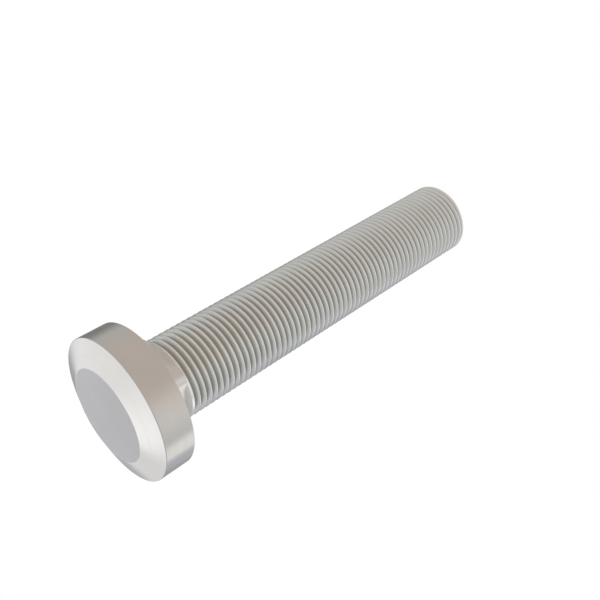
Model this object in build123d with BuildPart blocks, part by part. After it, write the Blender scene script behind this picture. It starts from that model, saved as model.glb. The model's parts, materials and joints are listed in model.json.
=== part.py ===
from build123d import *
import math
import os

# Driving dimensions, in millimetres
thread_diameter = 19.05
thread_pitch = 1.5875
threaded_length = 68.0
length_under_head = 101.6
tip_land = 0.4
tip_chamfer = 0.6
head_diameter = 34.0
rim_height = 7.15
crown_height = 2.15
crown_flat_diameter = 22.2
neck_across_flats = 16.0
neck_corner_radius = 2.6
neck_length = 5.65

# A unified thread's depth is a fixed share of its pitch
depth_to_pitch = 0.6134
crest_radius = thread_diameter / 2
root_radius = crest_radius - depth_to_pitch * thread_pitch

# Heights along the bolt, counted from the crown's flat, on which the bolt stands
rim_edge = crown_height
bearing_face = rim_edge + rim_height
neck_end = bearing_face + neck_length
tip = bearing_face + length_under_head
thread_start = tip - threaded_length
thread_end = tip - tip_chamfer - tip_land

# Each turn of the thread is drawn in quarters
quarters = 4
quarter_rise = thread_pitch / quarters
quarter_angle = 360 / quarters


def helix(radius, start, quarter):
    """That quarter of a right-hand turn round the bolt's axis, where the turn begins at that height."""
    arc = Edge.make_helix(thread_pitch, quarter_rise, radius, center=(0, 0, start + quarter * quarter_rise))
    return arc.rotate(Axis.Z, quarter * quarter_angle)


def flanks(start, quarter):
    """The two flanks of a quarter turn, from a root to the crest above it and on to the next root."""
    lower_root = helix(root_radius, start, quarter)
    crest = helix(crest_radius, start + thread_pitch / 2, quarter)
    upper_root = helix(root_radius, start + thread_pitch, quarter)
    return [
        Face.make_surface_from_curves(lower_root, crest),
        Face.make_surface_from_curves(crest, upper_root),
    ]


def end_ramp(start, quarter):
    """A quarter turn of spiral ramp, from the axis out to the root."""
    foot = start + quarter * quarter_rise
    axis = Edge.make_line((0, 0, foot), (0, 0, foot + quarter_rise))
    return Face.make_surface_from_curves(axis, helix(root_radius, start, quarter))


def end_wall(start):
    """Section of the rod over one pitch, from the axis out to the crest."""
    corners = [
        (0, 0, start),
        (root_radius, 0, start),
        (crest_radius, 0, start + thread_pitch / 2),
        (root_radius, 0, start + thread_pitch),
        (0, 0, start + thread_pitch),
    ]
    return Face(Wire.make_polygon(corners))


# Threaded rod: whole turns of flanks, closed at both ends by a ramp and a wall, which lie past the thread
turns = math.ceil((thread_end - thread_start) / thread_pitch) + 2
rod_end = thread_end + 0.75 * thread_pitch
rod_start = rod_end - turns * thread_pitch
rod_faces = [end_wall(rod_start), end_wall(rod_end)]
for quarter in range(quarters):
    rod_faces += [end_ramp(rod_start, quarter), end_ramp(rod_end, quarter)]
    for i in range(turns):
        rod_faces += flanks(rod_start + i * thread_pitch, quarter)
threaded_rod = Solid(Shell(rod_faces))

with BuildPart() as bolt:
    # Thread: the rod, trimmed to length by a round blank twice as wide
    add(threaded_rod)
    with BuildSketch(Plane.XY.offset(thread_start)):
        Circle(thread_diameter)
    extrude(amount=thread_end - thread_start, mode=Mode.INTERSECT)

    # Head: flat crown, conical bevel and straight rim, turned about the bolt's axis
    with BuildSketch(Plane.XZ):
        with BuildLine():
            Polyline(
                (0, 0),
                (crown_flat_diameter / 2, 0),
                (head_diameter / 2, rim_edge),
                (head_diameter / 2, bearing_face),
                (0, bearing_face),
                close=True,
            )
        make_face()
    revolve(axis=Axis.Z)

    # Neck: a short square with rounded corners, which stops the bolt from turning in timber
    with BuildSketch(Plane.XY.offset(bearing_face)):
        RectangleRounded(neck_across_flats, neck_across_flats, neck_corner_radius)
    extrude(amount=neck_length)

    # Plain shank from the neck to the thread, as wide as the crests
    with BuildSketch(Plane.XY.offset(neck_end)):
        Circle(crest_radius)
    extrude(amount=thread_start - neck_end)

    # Tip: a plain land after the last groove, with its end chamfered
    with BuildSketch(Plane.XY.offset(thread_end)):
        Circle(crest_radius)
    extrude(amount=tip_land + tip_chamfer)
    tip_edge = bolt.faces().sort_by(Axis.Z)[-1].edges()
    chamfer(tip_edge, tip_chamfer)

bolt.part.label = "bolt"

os.makedirs("parts", exist_ok=True)
export_step(bolt.part, "parts/bolt.step")
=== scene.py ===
"""A steel carriage bolt, standing head down: turned head, square neck and fine thread."""

import json
import math

import bmesh
import bpy
from mathutils import Matrix, Vector


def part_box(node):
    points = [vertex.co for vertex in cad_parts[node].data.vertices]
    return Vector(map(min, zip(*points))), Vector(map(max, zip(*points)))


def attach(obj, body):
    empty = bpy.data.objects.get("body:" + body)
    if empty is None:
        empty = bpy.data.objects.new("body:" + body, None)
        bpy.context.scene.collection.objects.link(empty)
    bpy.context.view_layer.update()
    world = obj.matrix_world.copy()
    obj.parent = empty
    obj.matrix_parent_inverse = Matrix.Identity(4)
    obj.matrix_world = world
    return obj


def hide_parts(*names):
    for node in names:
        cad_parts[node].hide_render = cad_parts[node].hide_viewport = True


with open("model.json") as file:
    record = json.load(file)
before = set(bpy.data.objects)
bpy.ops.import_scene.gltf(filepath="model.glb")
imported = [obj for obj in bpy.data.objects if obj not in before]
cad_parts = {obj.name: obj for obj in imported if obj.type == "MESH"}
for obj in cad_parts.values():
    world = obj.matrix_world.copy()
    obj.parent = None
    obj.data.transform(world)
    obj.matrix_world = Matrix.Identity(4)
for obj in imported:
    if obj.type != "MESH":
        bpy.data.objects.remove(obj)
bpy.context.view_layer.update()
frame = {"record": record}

MM = 0.001


def record_mount(name):
    """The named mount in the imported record."""
    return next(m for m in frame["record"]["mounts"] if m["name"] == name)


# Sizes in metres, from the frame
BOLT_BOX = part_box("bolt")
TIP_HEIGHT = BOLT_BOX[1].z
HEAD_RADIUS = BOLT_BOX[1].x
BEARING_HEIGHT = record_mount("bearing_face")["pos_m"][2]
THREAD_RADIUS = record_mount("thread")["dims"]["r_mm"] * MM
THREAD_LENGTH = record_mount("thread")["dims"]["length_mm"] * MM

# Sizes in metres that the frame doesn't give
CROWN_HEIGHT = 2.15 * MM
CROWN_FLAT_RADIUS = 11.1 * MM
NECK_HALF_WIDTH = 8.0 * MM
NECK_CORNER_RADIUS = 2.6 * MM
TIP_LAND = 0.4 * MM
TIP_CHAMFER = 0.6 * MM

# The head's edges are broken by a small rounding, drawn in this many steps
EDGE_BREAK = 0.12 * MM
EDGE_STEPS = 4

NECK_END_HEIGHT = TIP_HEIGHT - TIP_CHAMFER - THREAD_LENGTH
LAND_HEIGHT = TIP_HEIGHT - TIP_CHAMFER - TIP_LAND

# Thread form: sixteen turns to the inch, with a unified thread's depth and flanks
PITCH = 25.4 * MM / 16
THREAD_DEPTH = 0.6134 * PITCH
FLANK_ANGLE = math.radians(30)
SHARP_HEIGHT = PITCH / 2 / math.tan(FLANK_ANGLE)

# Crests and roots are rounded. With flanks at that angle, each rounding takes its own radius off the height
CREST_RADIUS = 0.19 * PITCH
ROOT_RADIUS = SHARP_HEIGHT - THREAD_DEPTH - CREST_RADIUS
ARC_STEPS = 3

# Half the width of a groove where its flanks, run on, reach the height of the crests
GROOVE_HALF_WIDTH = PITCH / 2 - CREST_RADIUS * math.tan(FLANK_ANGLE)

# The thread begins away from the camera, where its groove deepens and widens over part of a turn
THREAD_START_AZIMUTH = math.radians(-142)
FIRST_GROOVE_HEIGHT = 0.265 * MM
RUN_IN_ANGLE = math.radians(100)
RUN_IN_WIDTH = 0.1
LEAST_CREST_HEIGHT = 0.04 * MM

# Under the tip's land the groove narrows to this share of its width, where it has no depth left
LEAST_GROOVE = 0.02

# Mesh columns in each eighth of a turn: from a flat's middle to where it crosses the shank, and beyond
FLAT_COLUMNS = 10
CORNER_COLUMNS = 3

# Vertices of the tip that lie closer than this become one
MERGE_DISTANCE = 0.0005 * MM


def crossing_angle():
    """Angle from the middle of a neck flat to where the flat is as far out as the thread's crests."""
    return math.acos(NECK_HALF_WIDTH / THREAD_RADIUS)


def angle_from_flat(azimuth):
    """Angle from that azimuth to the middle of the nearest neck flat."""
    return abs((azimuth + math.pi / 4) % (math.pi / 2) - math.pi / 4)


def column_azimuths():
    """Azimuths of the mesh columns all round, which every ring of the bolt shares."""
    crossing = crossing_angle()
    eighth = [crossing * i / FLAT_COLUMNS for i in range(FLAT_COLUMNS)]
    eighth += [crossing + (math.pi / 4 - crossing) * i / CORNER_COLUMNS for i in range(CORNER_COLUMNS)]
    azimuths = []
    for quarter in range(4):
        middle = quarter * math.pi / 2
        azimuths += [middle + angle for angle in eighth]
        azimuths.append(middle + math.pi / 4)
        azimuths += [middle + math.pi / 2 - angle for angle in reversed(eighth[1:])]
    return azimuths


AZIMUTHS = column_azimuths()
COLUMNS = len(AZIMUTHS)


def crosses_shank(azimuth):
    """Whether the neck's flat and the shank cross at that azimuth."""
    return math.isclose(angle_from_flat(azimuth), crossing_angle(), abs_tol=1e-9)


def neck_radius(azimuth):
    """Distance from the axis to the neck's wall: a square with rounded corners."""
    from_flat = angle_from_flat(azimuth)
    centre = NECK_HALF_WIDTH - NECK_CORNER_RADIUS
    if math.tan(from_flat) * NECK_HALF_WIDTH <= centre:
        return NECK_HALF_WIDTH / math.cos(from_flat)
    along = centre * (math.cos(from_flat) + math.sin(from_flat))
    return along + math.sqrt(along**2 - 2 * centre**2 + NECK_CORNER_RADIUS**2)


def around(azimuth, radius, height):
    """The point at that azimuth, radius and height."""
    return Vector((radius * math.cos(azimuth), radius * math.sin(azimuth), height))


def round_ring(mesh, radius, height):
    """A circle of vertices, one in each column."""
    return [mesh.verts.new(around(azimuth, radius, height)) for azimuth in AZIMUTHS]


def neck_ring(mesh, height, shank_ring=None):
    """The neck's outline in vertices, which takes the shank's own vertices where the two cross."""
    vertices = []
    for i, azimuth in enumerate(AZIMUTHS):
        if shank_ring and crosses_shank(azimuth):
            vertices.append(shank_ring[i])
        else:
            vertices.append(mesh.verts.new(around(azimuth, neck_radius(azimuth), height)))
    return vertices


def bridge(mesh, lower, upper):
    """Faces between two rings, with triangles where they share a vertex."""
    for i in range(COLUMNS):
        j = (i + 1) % COLUMNS
        corners = [lower[i], lower[j], upper[j], upper[i]]
        mesh.faces.new(list(dict.fromkeys(corners)))


def rounded(corner, before, after):
    """Profile points that round a corner off, with one more on each side to keep the next face flat."""
    into = (before - corner).normalized()
    out = (after - corner).normalized()
    arc = []
    for i in range(EDGE_STEPS + 1):
        t = i / EDGE_STEPS
        arc.append(corner + into * EDGE_BREAK * (1 - t) ** 2 + out * EDGE_BREAK * t**2)
    return [corner + into * EDGE_BREAK * 2, *arc, corner + out * EDGE_BREAK * 2]


def head_profile():
    """Radius and height of the head's outline, from the crown's flat up to the bearing face."""
    centre = Vector((0, 0))
    crown_edge = Vector((CROWN_FLAT_RADIUS, 0))
    bevel_edge = Vector((HEAD_RADIUS, CROWN_HEIGHT))
    bearing_edge = Vector((HEAD_RADIUS, BEARING_HEIGHT))
    bearing_middle = Vector((0, BEARING_HEIGHT))
    profile = rounded(crown_edge, centre, bevel_edge)
    profile += rounded(bevel_edge, crown_edge, bearing_edge)
    profile += rounded(bearing_edge, bevel_edge, bearing_middle)
    return profile


def groove_section():
    """Offset along the axis and depth of each point of one groove, from one crest's middle to the next."""
    half_arc = math.pi / 2 - FLANK_ANGLE
    steps = [half_arc * i / ARC_STEPS for i in range(ARC_STEPS + 1)]
    half = []
    for angle in steps:
        half.append((PITCH / 2 - CREST_RADIUS * math.sin(angle), CREST_RADIUS * (1 - math.cos(angle))))
    for angle in reversed(steps):
        half.append((ROOT_RADIUS * math.sin(angle), THREAD_DEPTH - ROOT_RADIUS * (1 - math.cos(angle))))
    section = [(-offset, depth) for offset, depth in half]
    section += reversed(half[1:-1])
    return section


def run_in(turned):
    """Share of its full depth that the groove has reached, that far round from its start."""
    part = min(turned / RUN_IN_ANGLE, 1)
    return part * part * (3 - 2 * part)


def groove_room(lower_edge):
    """Share of its full width that a groove from that lower edge has below the tip's land."""
    room = (LAND_HEIGHT - lower_edge) / (2 * GROOVE_HALF_WIDTH)
    return min(max(room, LEAST_GROOVE), 1)


def groove_row(mesh, section, azimuth, middle, cut):
    """One column of the groove's vertices, at that share of its depth, from the crest below it up."""
    # Where the tip's land is in the way, the groove keeps its lower edge, and is narrower and shallower
    lower_edge = middle - GROOVE_HALF_WIDTH
    size = groove_room(lower_edge)
    centre = lower_edge + GROOVE_HALF_WIDTH * size
    depth_share = cut * (size - LEAST_GROOVE) / (1 - LEAST_GROOVE)
    width_share = size * (RUN_IN_WIDTH + (1 - RUN_IN_WIDTH) * cut)
    row = []
    for index, (offset, depth) in enumerate(section):
        if index == 0:
            height = max(middle + offset, NECK_END_HEIGHT + LEAST_CREST_HEIGHT)
        else:
            height = centre + offset * width_share
        row.append(mesh.verts.new(around(azimuth, THREAD_RADIUS - depth * depth_share, height)))
    return row


def thread_rows(mesh):
    """The thread's vertices, column by column along its helix, with each one's place round the bolt."""
    first = min(range(COLUMNS), key=lambda i: abs(AZIMUTHS[i] - THREAD_START_AZIMUTH % math.tau))
    section = groove_section()
    rows = []
    step = first
    risen = 0.0
    while risen < TIP_HEIGHT - NECK_END_HEIGHT + PITCH:
        column = step % COLUMNS
        turned = math.tau * (step // COLUMNS) + AZIMUTHS[column] - AZIMUTHS[first]
        risen = turned * PITCH / math.tau
        middle = NECK_END_HEIGHT + FIRST_GROOVE_HEIGHT + risen
        rows.append((column, groove_row(mesh, section, AZIMUTHS[column], middle, run_in(turned))))
        step += 1
    return rows


def cut_thread(mesh, lower_ring):
    """The thread's faces, joined to the ring below and left open past the tip."""
    rows = thread_rows(mesh)
    points = len(rows[0][1])

    def vertex(row, point):
        if point == points:
            return rows[row + COLUMNS][1][0]
        return rows[row][1][point]

    for row in range(len(rows) - 1 - COLUMNS):
        for point in range(points):
            corners = [vertex(row, point), vertex(row + 1, point)]
            corners += [vertex(row + 1, point + 1), vertex(row, point + 1)]
            mesh.faces.new(corners)

    # The first turn rises from the ring below, and its last face takes in the groove's own start
    for row in range(COLUMNS):
        corners = [lower_ring[rows[row][0]], lower_ring[rows[row + 1][0]]]
        if row == COLUMNS - 1:
            corners += [vertex(0, point) for point in range(points + 1)]
        else:
            corners.append(vertex(row + 1, 0))
        mesh.faces.new([*corners, vertex(row, 0)])


def close_tip(mesh):
    """Cuts the blank off flat in the plain land, and closes it with the tip's chamfer and its end."""
    everything = mesh.verts[:] + mesh.edges[:] + mesh.faces[:]
    plane = {"plane_co": (0, 0, LAND_HEIGHT + TIP_LAND / 2), "plane_no": (0, 0, 1), "clear_outer": True}
    bmesh.ops.bisect_plane(mesh, geom=everything, **plane)
    outline = [
        (THREAD_RADIUS, TIP_HEIGHT - TIP_CHAMFER),
        (THREAD_RADIUS - TIP_CHAMFER, TIP_HEIGHT),
    ]
    for radius, height in outline:
        rim = [edge for edge in mesh.edges if edge.is_boundary]
        grown = bmesh.ops.extrude_edge_only(mesh, edges=rim)["geom"]
        for vertex in grown:
            if isinstance(vertex, bmesh.types.BMVert):
                azimuth = math.atan2(vertex.co.y, vertex.co.x)
                vertex.co = around(azimuth, radius, height)
    bmesh.ops.edgeloop_fill(mesh, edges=[edge for edge in mesh.edges if edge.is_boundary])
    bmesh.ops.remove_doubles(mesh, verts=mesh.verts, dist=MERGE_DISTANCE)


def forge_bolt():
    """The whole bolt as one closed mesh."""
    mesh = bmesh.new()
    head = [round_ring(mesh, radius, height) for radius, height in head_profile()]
    neck_foot = neck_ring(mesh, BEARING_HEIGHT)
    shank_foot = round_ring(mesh, THREAD_RADIUS, NECK_END_HEIGHT)
    neck_end = neck_ring(mesh, NECK_END_HEIGHT, shank_foot)

    mesh.faces.new(head[0])
    rings = [*head, neck_foot, neck_end, shank_foot]
    for lower, upper in zip(rings, rings[1:]):
        bridge(mesh, lower, upper)
    cut_thread(mesh, shank_foot)
    close_tip(mesh)

    bmesh.ops.recalc_face_normals(mesh, faces=mesh.faces)
    data = bpy.data.meshes.new("carriage_bolt")
    mesh.to_mesh(data)
    mesh.free()
    return data


def shown(name, data):
    """An object for that data, in the scene."""
    thing = bpy.data.objects.new(name, data)
    bpy.context.scene.collection.objects.link(thing)
    return thing


def node(tree, kind, **values):
    """A shader node with its settings."""
    made = tree.nodes.new(kind)
    for name, value in values.items():
        setattr(made, name, value)
    return made


def set_inputs(made, **values):
    """Sets a node's sockets by name, with underscores for spaces."""
    for name, value in values.items():
        made.inputs[name.replace("_", " ")].default_value = value


# The steel's colour on each part of the bolt, from the head up. The bearing face, the shoulder where the
# neck meets the shank, and the thread are painted paler as painted light; the bearing face's paleness shows
# mostly as a lighter reflection on the shoulder.
HEAD_COLOUR = (0.53, 0.521, 0.504, 1)
# Painted light: the bearing face under the head is painted far paler than the steel, which brightens its
# reflection in the shoulder
BEARING_PAINTED_LIGHT = (0.95, 0.94, 0.91, 1)
NECK_COLOUR = (0.59, 0.58, 0.56, 1)
# Painted light: the shoulder under the thread is painted far paler than the steel
SHOULDER_PAINTED_LIGHT = (0.96, 0.96, 0.95, 1)
# The thread's steel colour, painted paler than the head as painted light against the shade in its grooves
THREAD_STEEL_AND_PAINTED_LIGHT = (0.705, 0.71, 0.685, 1)

# Share of the thread's brightness that the painted shade in its grooves leaves in its roots
ROOT_PAINTED_SHADE = 0.63

# How far above and below a level face its zone's tone reaches
SEAM = 0.01 * MM

# Cloudy differences of tone, and turned marks round the axis, which change the gloss and the height
CLOUD_SCALE = 120
TONE_CHANGE = 0.04
MARK_SCALE = 1800
MARK_HEIGHT = 0.001 * MM
MARK_STRENGTH = 0.1
LEAST_ROUGHNESS = 0.23
MOST_ROUGHNESS = 0.27

# Nearly all of a noise lies between these values
NOISE_LOW = 0.3
NOISE_HIGH = 0.7


def wandering(tree, noise, least, most):
    """A value that wanders between two limits with a noise."""
    spread = node(tree, "ShaderNodeMapRange")
    set_inputs(spread, From_Min=NOISE_LOW, From_Max=NOISE_HIGH, To_Min=least, To_Max=most)
    tree.links.new(noise, spread.inputs["Value"])
    return spread.outputs["Result"]


def distance_from_axis(tree, parts):
    """Distance of the separated point from the bolt's axis."""
    flat = node(tree, "ShaderNodeCombineXYZ")
    tree.links.new(parts.outputs["X"], flat.inputs["X"])
    tree.links.new(parts.outputs["Y"], flat.inputs["Y"])
    radius = node(tree, "ShaderNodeVectorMath", operation="LENGTH")
    tree.links.new(flat.outputs[0], radius.inputs[0])
    return radius.outputs["Value"]


def steel_colour_and_painted_light(tree, height):
    """The colour of each part of the bolt, with painted light on the bearing face, the shoulder and the
    thread, where every zone takes over from the one below.
    """
    zones = [
        (BEARING_HEIGHT - SEAM, BEARING_PAINTED_LIGHT),
        (BEARING_HEIGHT + SEAM, NECK_COLOUR),
        (NECK_END_HEIGHT - SEAM, SHOULDER_PAINTED_LIGHT),
        (NECK_END_HEIGHT + SEAM, THREAD_STEEL_AND_PAINTED_LIGHT),
    ]
    tone = node(tree, "ShaderNodeRGB").outputs[0]
    tone.default_value = HEAD_COLOUR
    for lower_end, zone_colour in zones:
        above = node(tree, "ShaderNodeMath", operation="GREATER_THAN")
        tree.links.new(height, above.inputs[0])
        above.inputs[1].default_value = lower_end
        zone = node(tree, "ShaderNodeMix", data_type="RGBA")
        tree.links.new(above.outputs[0], zone.inputs["Factor"])
        tree.links.new(tone, zone.inputs["A"])
        zone.inputs["B"].default_value = zone_colour
        tone = zone.outputs["Result"]
    return tone


def painted_groove_shade(tree, height, radius):
    """Painted shade: the share of the brightness that is left, less towards the thread's roots, and all of
    it elsewhere.
    """
    threaded = node(tree, "ShaderNodeMath", operation="COMPARE")
    tree.links.new(height, threaded.inputs[0])
    threaded.inputs[1].default_value = (LAND_HEIGHT + NECK_END_HEIGHT) / 2
    threaded.inputs[2].default_value = (LAND_HEIGHT - NECK_END_HEIGHT - SEAM) / 2
    root = node(tree, "ShaderNodeMapRange")
    set_inputs(root, From_Min=THREAD_RADIUS - THREAD_DEPTH, From_Max=THREAD_RADIUS, To_Min=ROOT_PAINTED_SHADE)
    tree.links.new(radius, root.inputs["Value"])
    groove = node(tree, "ShaderNodeMix")
    groove.inputs["A"].default_value = 1
    tree.links.new(root.outputs["Result"], groove.inputs["B"])
    tree.links.new(threaded.outputs[0], groove.inputs["Factor"])
    return groove.outputs["Result"]


def satin_steel():
    """Smooth satin steel, with faint turned marks and slight differences of tone and gloss, painted shade in
    the thread's grooves, and painted light on the bearing face, the shoulder and the thread.
    """
    material = bpy.data.materials.new("satin_steel")
    material.use_nodes = True
    tree = material.node_tree
    shader = tree.nodes["Principled BSDF"]
    set_inputs(shader, Metallic=1.0)
    link = tree.links.new

    place = node(tree, "ShaderNodeTexCoord")
    parts = node(tree, "ShaderNodeSeparateXYZ")
    link(place.outputs["Object"], parts.inputs[0])
    height = parts.outputs["Z"]
    radius = distance_from_axis(tree, parts)

    cloud = node(tree, "ShaderNodeTexNoise")
    set_inputs(cloud, Scale=CLOUD_SCALE, Detail=3.0, Roughness=0.5)
    link(place.outputs["Object"], cloud.inputs["Vector"])
    # Painted shade in the thread's grooves, times the cloudy differences of tone
    shade = node(tree, "ShaderNodeMath", operation="MULTIPLY")
    link(painted_groove_shade(tree, height, radius), shade.inputs[0])
    change = wandering(tree, cloud.outputs["Fac"], 1 - TONE_CHANGE / 2, 1 + TONE_CHANGE / 2)
    link(change, shade.inputs[1])
    colour = node(tree, "ShaderNodeVectorMath", operation="SCALE")
    link(steel_colour_and_painted_light(tree, height), colour.inputs[0])
    link(shade.outputs[0], colour.inputs["Scale"])
    link(colour.outputs[0], shader.inputs["Base Color"])

    across = node(tree, "ShaderNodeCombineXYZ")
    link(radius, across.inputs["X"])
    link(height, across.inputs["Y"])
    turning = node(tree, "ShaderNodeTexNoise", noise_dimensions="2D")
    set_inputs(turning, Scale=MARK_SCALE, Detail=3.0, Roughness=0.6)
    link(across.outputs[0], turning.inputs["Vector"])
    roughness = wandering(tree, turning.outputs["Fac"], LEAST_ROUGHNESS, MOST_ROUGHNESS)
    link(roughness, shader.inputs["Roughness"])
    marks = node(tree, "ShaderNodeBump")
    set_inputs(marks, Strength=MARK_STRENGTH, Distance=MARK_HEIGHT)
    link(turning.outputs["Fac"], marks.inputs["Height"])
    link(marks.outputs["Normal"], shader.inputs["Normal"])
    return material


def direction(azimuth, elevation):
    """Unit vector towards that azimuth, counted from +X, and elevation, in degrees."""
    a = math.radians(azimuth)
    e = math.radians(elevation)
    return Vector((math.cos(a) * math.cos(e), math.sin(a) * math.cos(e), math.sin(e)))


TENT_RADIUS = 0.8
TENT_TONE = (0.71, 0.71, 0.71)
# Soft cards on the tent: azimuth and elevation of the middle, reach of the card and of its fade, in degrees,
# and what it adds to the tent's tone or takes from it
TENT_CARDS = [
    ("front_warm", 6, 20, 30, 81, (0.083, 0, -0.06)),
    ("right_glow", 86, 43, 3, 44, (0.345, 0.32, 0.30)),
    ("stripe", 141, 26, 10, 16, (0.655, 0.655, 0.583)),
    ("far_side", -165, 7, 36, 70, (-0.048, -0.036, 0.024)),
    ("dark_side", -106, 11, 6, 33, (-0.42, -0.43, -0.47)),
    ("back_dark", -161, -4, 29, 35, (-0.19, -0.20, -0.25)),
    ("under_left", -142, -39, 34, 40, (0.667, 0.667, 0.667)),
    ("under", -151, -48, 11, 17, (0.464, 0.44, 0.464)),
    ("crown_grey", -142, -29, 11, 18, (-0.465, -0.465, -0.42)),
]


def tent_cloth():
    """The tent's own light: a plain tone, with each card's added to it."""
    material = bpy.data.materials.new("tent_cloth")
    material.use_nodes = True
    tree = material.node_tree
    tree.nodes.clear()
    link = tree.links.new
    place = node(tree, "ShaderNodeTexCoord")
    towards = node(tree, "ShaderNodeVectorMath", operation="NORMALIZE")
    link(place.outputs["Object"], towards.inputs[0])
    tone = node(tree, "ShaderNodeVectorMath", operation="ADD", label="cloth")
    tone.inputs[0].default_value = TENT_TONE
    for name, azimuth, elevation, full, fade, colour in TENT_CARDS:
        near = node(tree, "ShaderNodeVectorMath", operation="DOT_PRODUCT", label=name)
        near.inputs[1].default_value = direction(azimuth, elevation)
        link(towards.outputs[0], near.inputs[0])
        cover = node(tree, "ShaderNodeMapRange", interpolation_type="SMOOTHSTEP")
        set_inputs(cover, From_Min=math.cos(math.radians(fade)), From_Max=math.cos(math.radians(full)))
        link(near.outputs["Value"], cover.inputs["Value"])
        card = node(tree, "ShaderNodeVectorMath", operation="MULTIPLY_ADD")
        link(cover.outputs["Result"], card.inputs[0])
        card.inputs[1].default_value = colour
        link(tone.outputs[0], card.inputs[2])
        tone = card
    glow = node(tree, "ShaderNodeEmission")
    link(tone.outputs[0], glow.inputs["Color"])
    out = node(tree, "ShaderNodeOutputMaterial")
    link(glow.outputs[0], out.inputs["Surface"])
    return material


def light_tent():
    """A tent of soft tones round the bolt, which the metal shows and the camera sees through."""
    mesh = bmesh.new()
    bmesh.ops.create_uvsphere(mesh, u_segments=64, v_segments=32, radius=TENT_RADIUS)
    data = bpy.data.meshes.new("light_tent")
    mesh.to_mesh(data)
    mesh.free()
    data.materials.append(tent_cloth())
    tent = shown("light_tent", data)
    tent.visible_camera = False
    return tent


FLOOR_RADIUS = 0.6
FLOOR_COLOUR = (0.9, 0.9, 0.9, 1)

# The floor is whole out to this share of its radius, and fades from there to its edge
FLOOR_WHOLE = 0.3

# The floor lies a hair above the crown's flat, so that the two aren't in one plane
FLOOR_LIFT = 0.02 * MM


def floor_cloth():
    """A pale cloth that only the camera sees, from above, and that fades out towards the floor's edge."""
    material = bpy.data.materials.new("pale_floor")
    material.use_nodes = True
    tree = material.node_tree
    tree.nodes.clear()
    link = tree.links.new
    place = node(tree, "ShaderNodeTexCoord")
    reach = node(tree, "ShaderNodeVectorMath", operation="LENGTH")
    link(place.outputs["Object"], reach.inputs[0])
    near = node(tree, "ShaderNodeMapRange", interpolation_type="SMOOTHSTEP")
    set_inputs(near, From_Min=FLOOR_RADIUS, From_Max=FLOOR_RADIUS * FLOOR_WHOLE)
    link(reach.outputs["Value"], near.inputs["Value"])
    path = node(tree, "ShaderNodeLightPath")
    side = node(tree, "ShaderNodeNewGeometry")
    above = node(tree, "ShaderNodeMath", operation="SUBTRACT")
    above.inputs[0].default_value = 1
    link(side.outputs["Backfacing"], above.inputs[1])
    seen = node(tree, "ShaderNodeMath", operation="MULTIPLY")
    link(path.outputs["Is Camera Ray"], seen.inputs[0])
    link(above.outputs[0], seen.inputs[1])
    covered = node(tree, "ShaderNodeMath", operation="MULTIPLY")
    link(seen.outputs[0], covered.inputs[0])
    link(near.outputs["Result"], covered.inputs[1])
    clear = node(tree, "ShaderNodeBsdfTransparent")
    cloth = node(tree, "ShaderNodeBsdfDiffuse")
    cloth.inputs["Color"].default_value = FLOOR_COLOUR
    mix = node(tree, "ShaderNodeMixShader")
    link(covered.outputs[0], mix.inputs["Fac"])
    link(clear.outputs[0], mix.inputs[1])
    link(cloth.outputs[0], mix.inputs[2])
    out = node(tree, "ShaderNodeOutputMaterial")
    link(mix.outputs[0], out.inputs["Surface"])
    return material


def pale_floor():
    """A plain pale floor that shows from above and keeps the bolt's shadow, and is clear from below."""
    mesh = bmesh.new()
    bmesh.ops.create_circle(mesh, cap_ends=True, segments=96, radius=FLOOR_RADIUS)
    data = bpy.data.meshes.new("floor")
    mesh.to_mesh(data)
    mesh.free()
    data.materials.append(floor_cloth())
    floor = shown("floor", data)
    floor.location.z = FLOOR_LIFT
    return floor


# The lamp: its width and distance in metres, its power in watts, and the way to it from the crown
LAMP_WIDTH = 0.3
LAMP_DISTANCE = 0.5
LAMP_POWER = 1.2
LAMP_AZIMUTH = 70
LAMP_ELEVATION = 62


def overhead_lamp():
    """A soft square lamp above the bolt, which gives the floor its shadow."""
    data = bpy.data.lights.new("overhead", "AREA")
    data.size = LAMP_WIDTH
    data.energy = LAMP_POWER
    lamp = shown("overhead", data)
    lamp.location = direction(LAMP_AZIMUTH, LAMP_ELEVATION) * LAMP_DISTANCE
    lamp.rotation_mode = "QUATERNION"
    lamp.rotation_quaternion = (-lamp.location).to_track_quat("-Z", "Y")
    lamp.visible_glossy = False


def white_world():
    """A plain white background."""
    world = bpy.data.worlds.new("white")
    world.use_nodes = True
    background = world.node_tree.nodes["Background"]
    background.inputs["Color"].default_value = (1, 1, 1, 1)
    background.inputs["Strength"].default_value = 1.0
    bpy.context.scene.world = world


# Camera at the photograph's view: from below and beside the head, with the bolt's axis across the picture
CAMERA_AIM = Vector((0, 0, 56.4 * MM))
CAMERA_DISTANCE = 203.57 * MM
CAMERA_AZIMUTH = 39.49
CAMERA_ELEVATION = -34.65
CAMERA_ROLL = 59.0
CAMERA_LENS = 50
CAMERA_SENSOR = 36
CAMERA_CLIP_START = 0.01


def set_camera():
    """The scene's camera."""
    data = bpy.data.cameras.new("camera")
    data.lens = CAMERA_LENS
    data.sensor_width = CAMERA_SENSOR
    data.clip_start = CAMERA_CLIP_START
    camera = shown("camera", data)
    back = direction(CAMERA_AZIMUTH, CAMERA_ELEVATION)
    turn = Matrix.Rotation(math.radians(CAMERA_ROLL), 4, "Z")
    aim = (-back).to_track_quat("-Z", "Y").to_matrix().to_4x4()
    camera.matrix_world = Matrix.Translation(CAMERA_AIM + back * CAMERA_DISTANCE) @ aim @ turn
    bpy.context.scene.camera = camera


# Faces that meet at more than this angle keep a sharp edge between them
SHARP_ANGLE = math.radians(35)

bolt = shown("carriage_bolt", forge_bolt())
for face in bolt.data.polygons:
    face.use_smooth = True
bolt.data.set_sharp_from_angle(angle=SHARP_ANGLE)
bolt.data.materials.append(satin_steel())
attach(bolt, "root")
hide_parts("bolt")

light_tent()
pale_floor()
overhead_lamp()
white_world()
set_camera()

scene = bpy.context.scene
scene.view_settings.view_transform = "Standard"
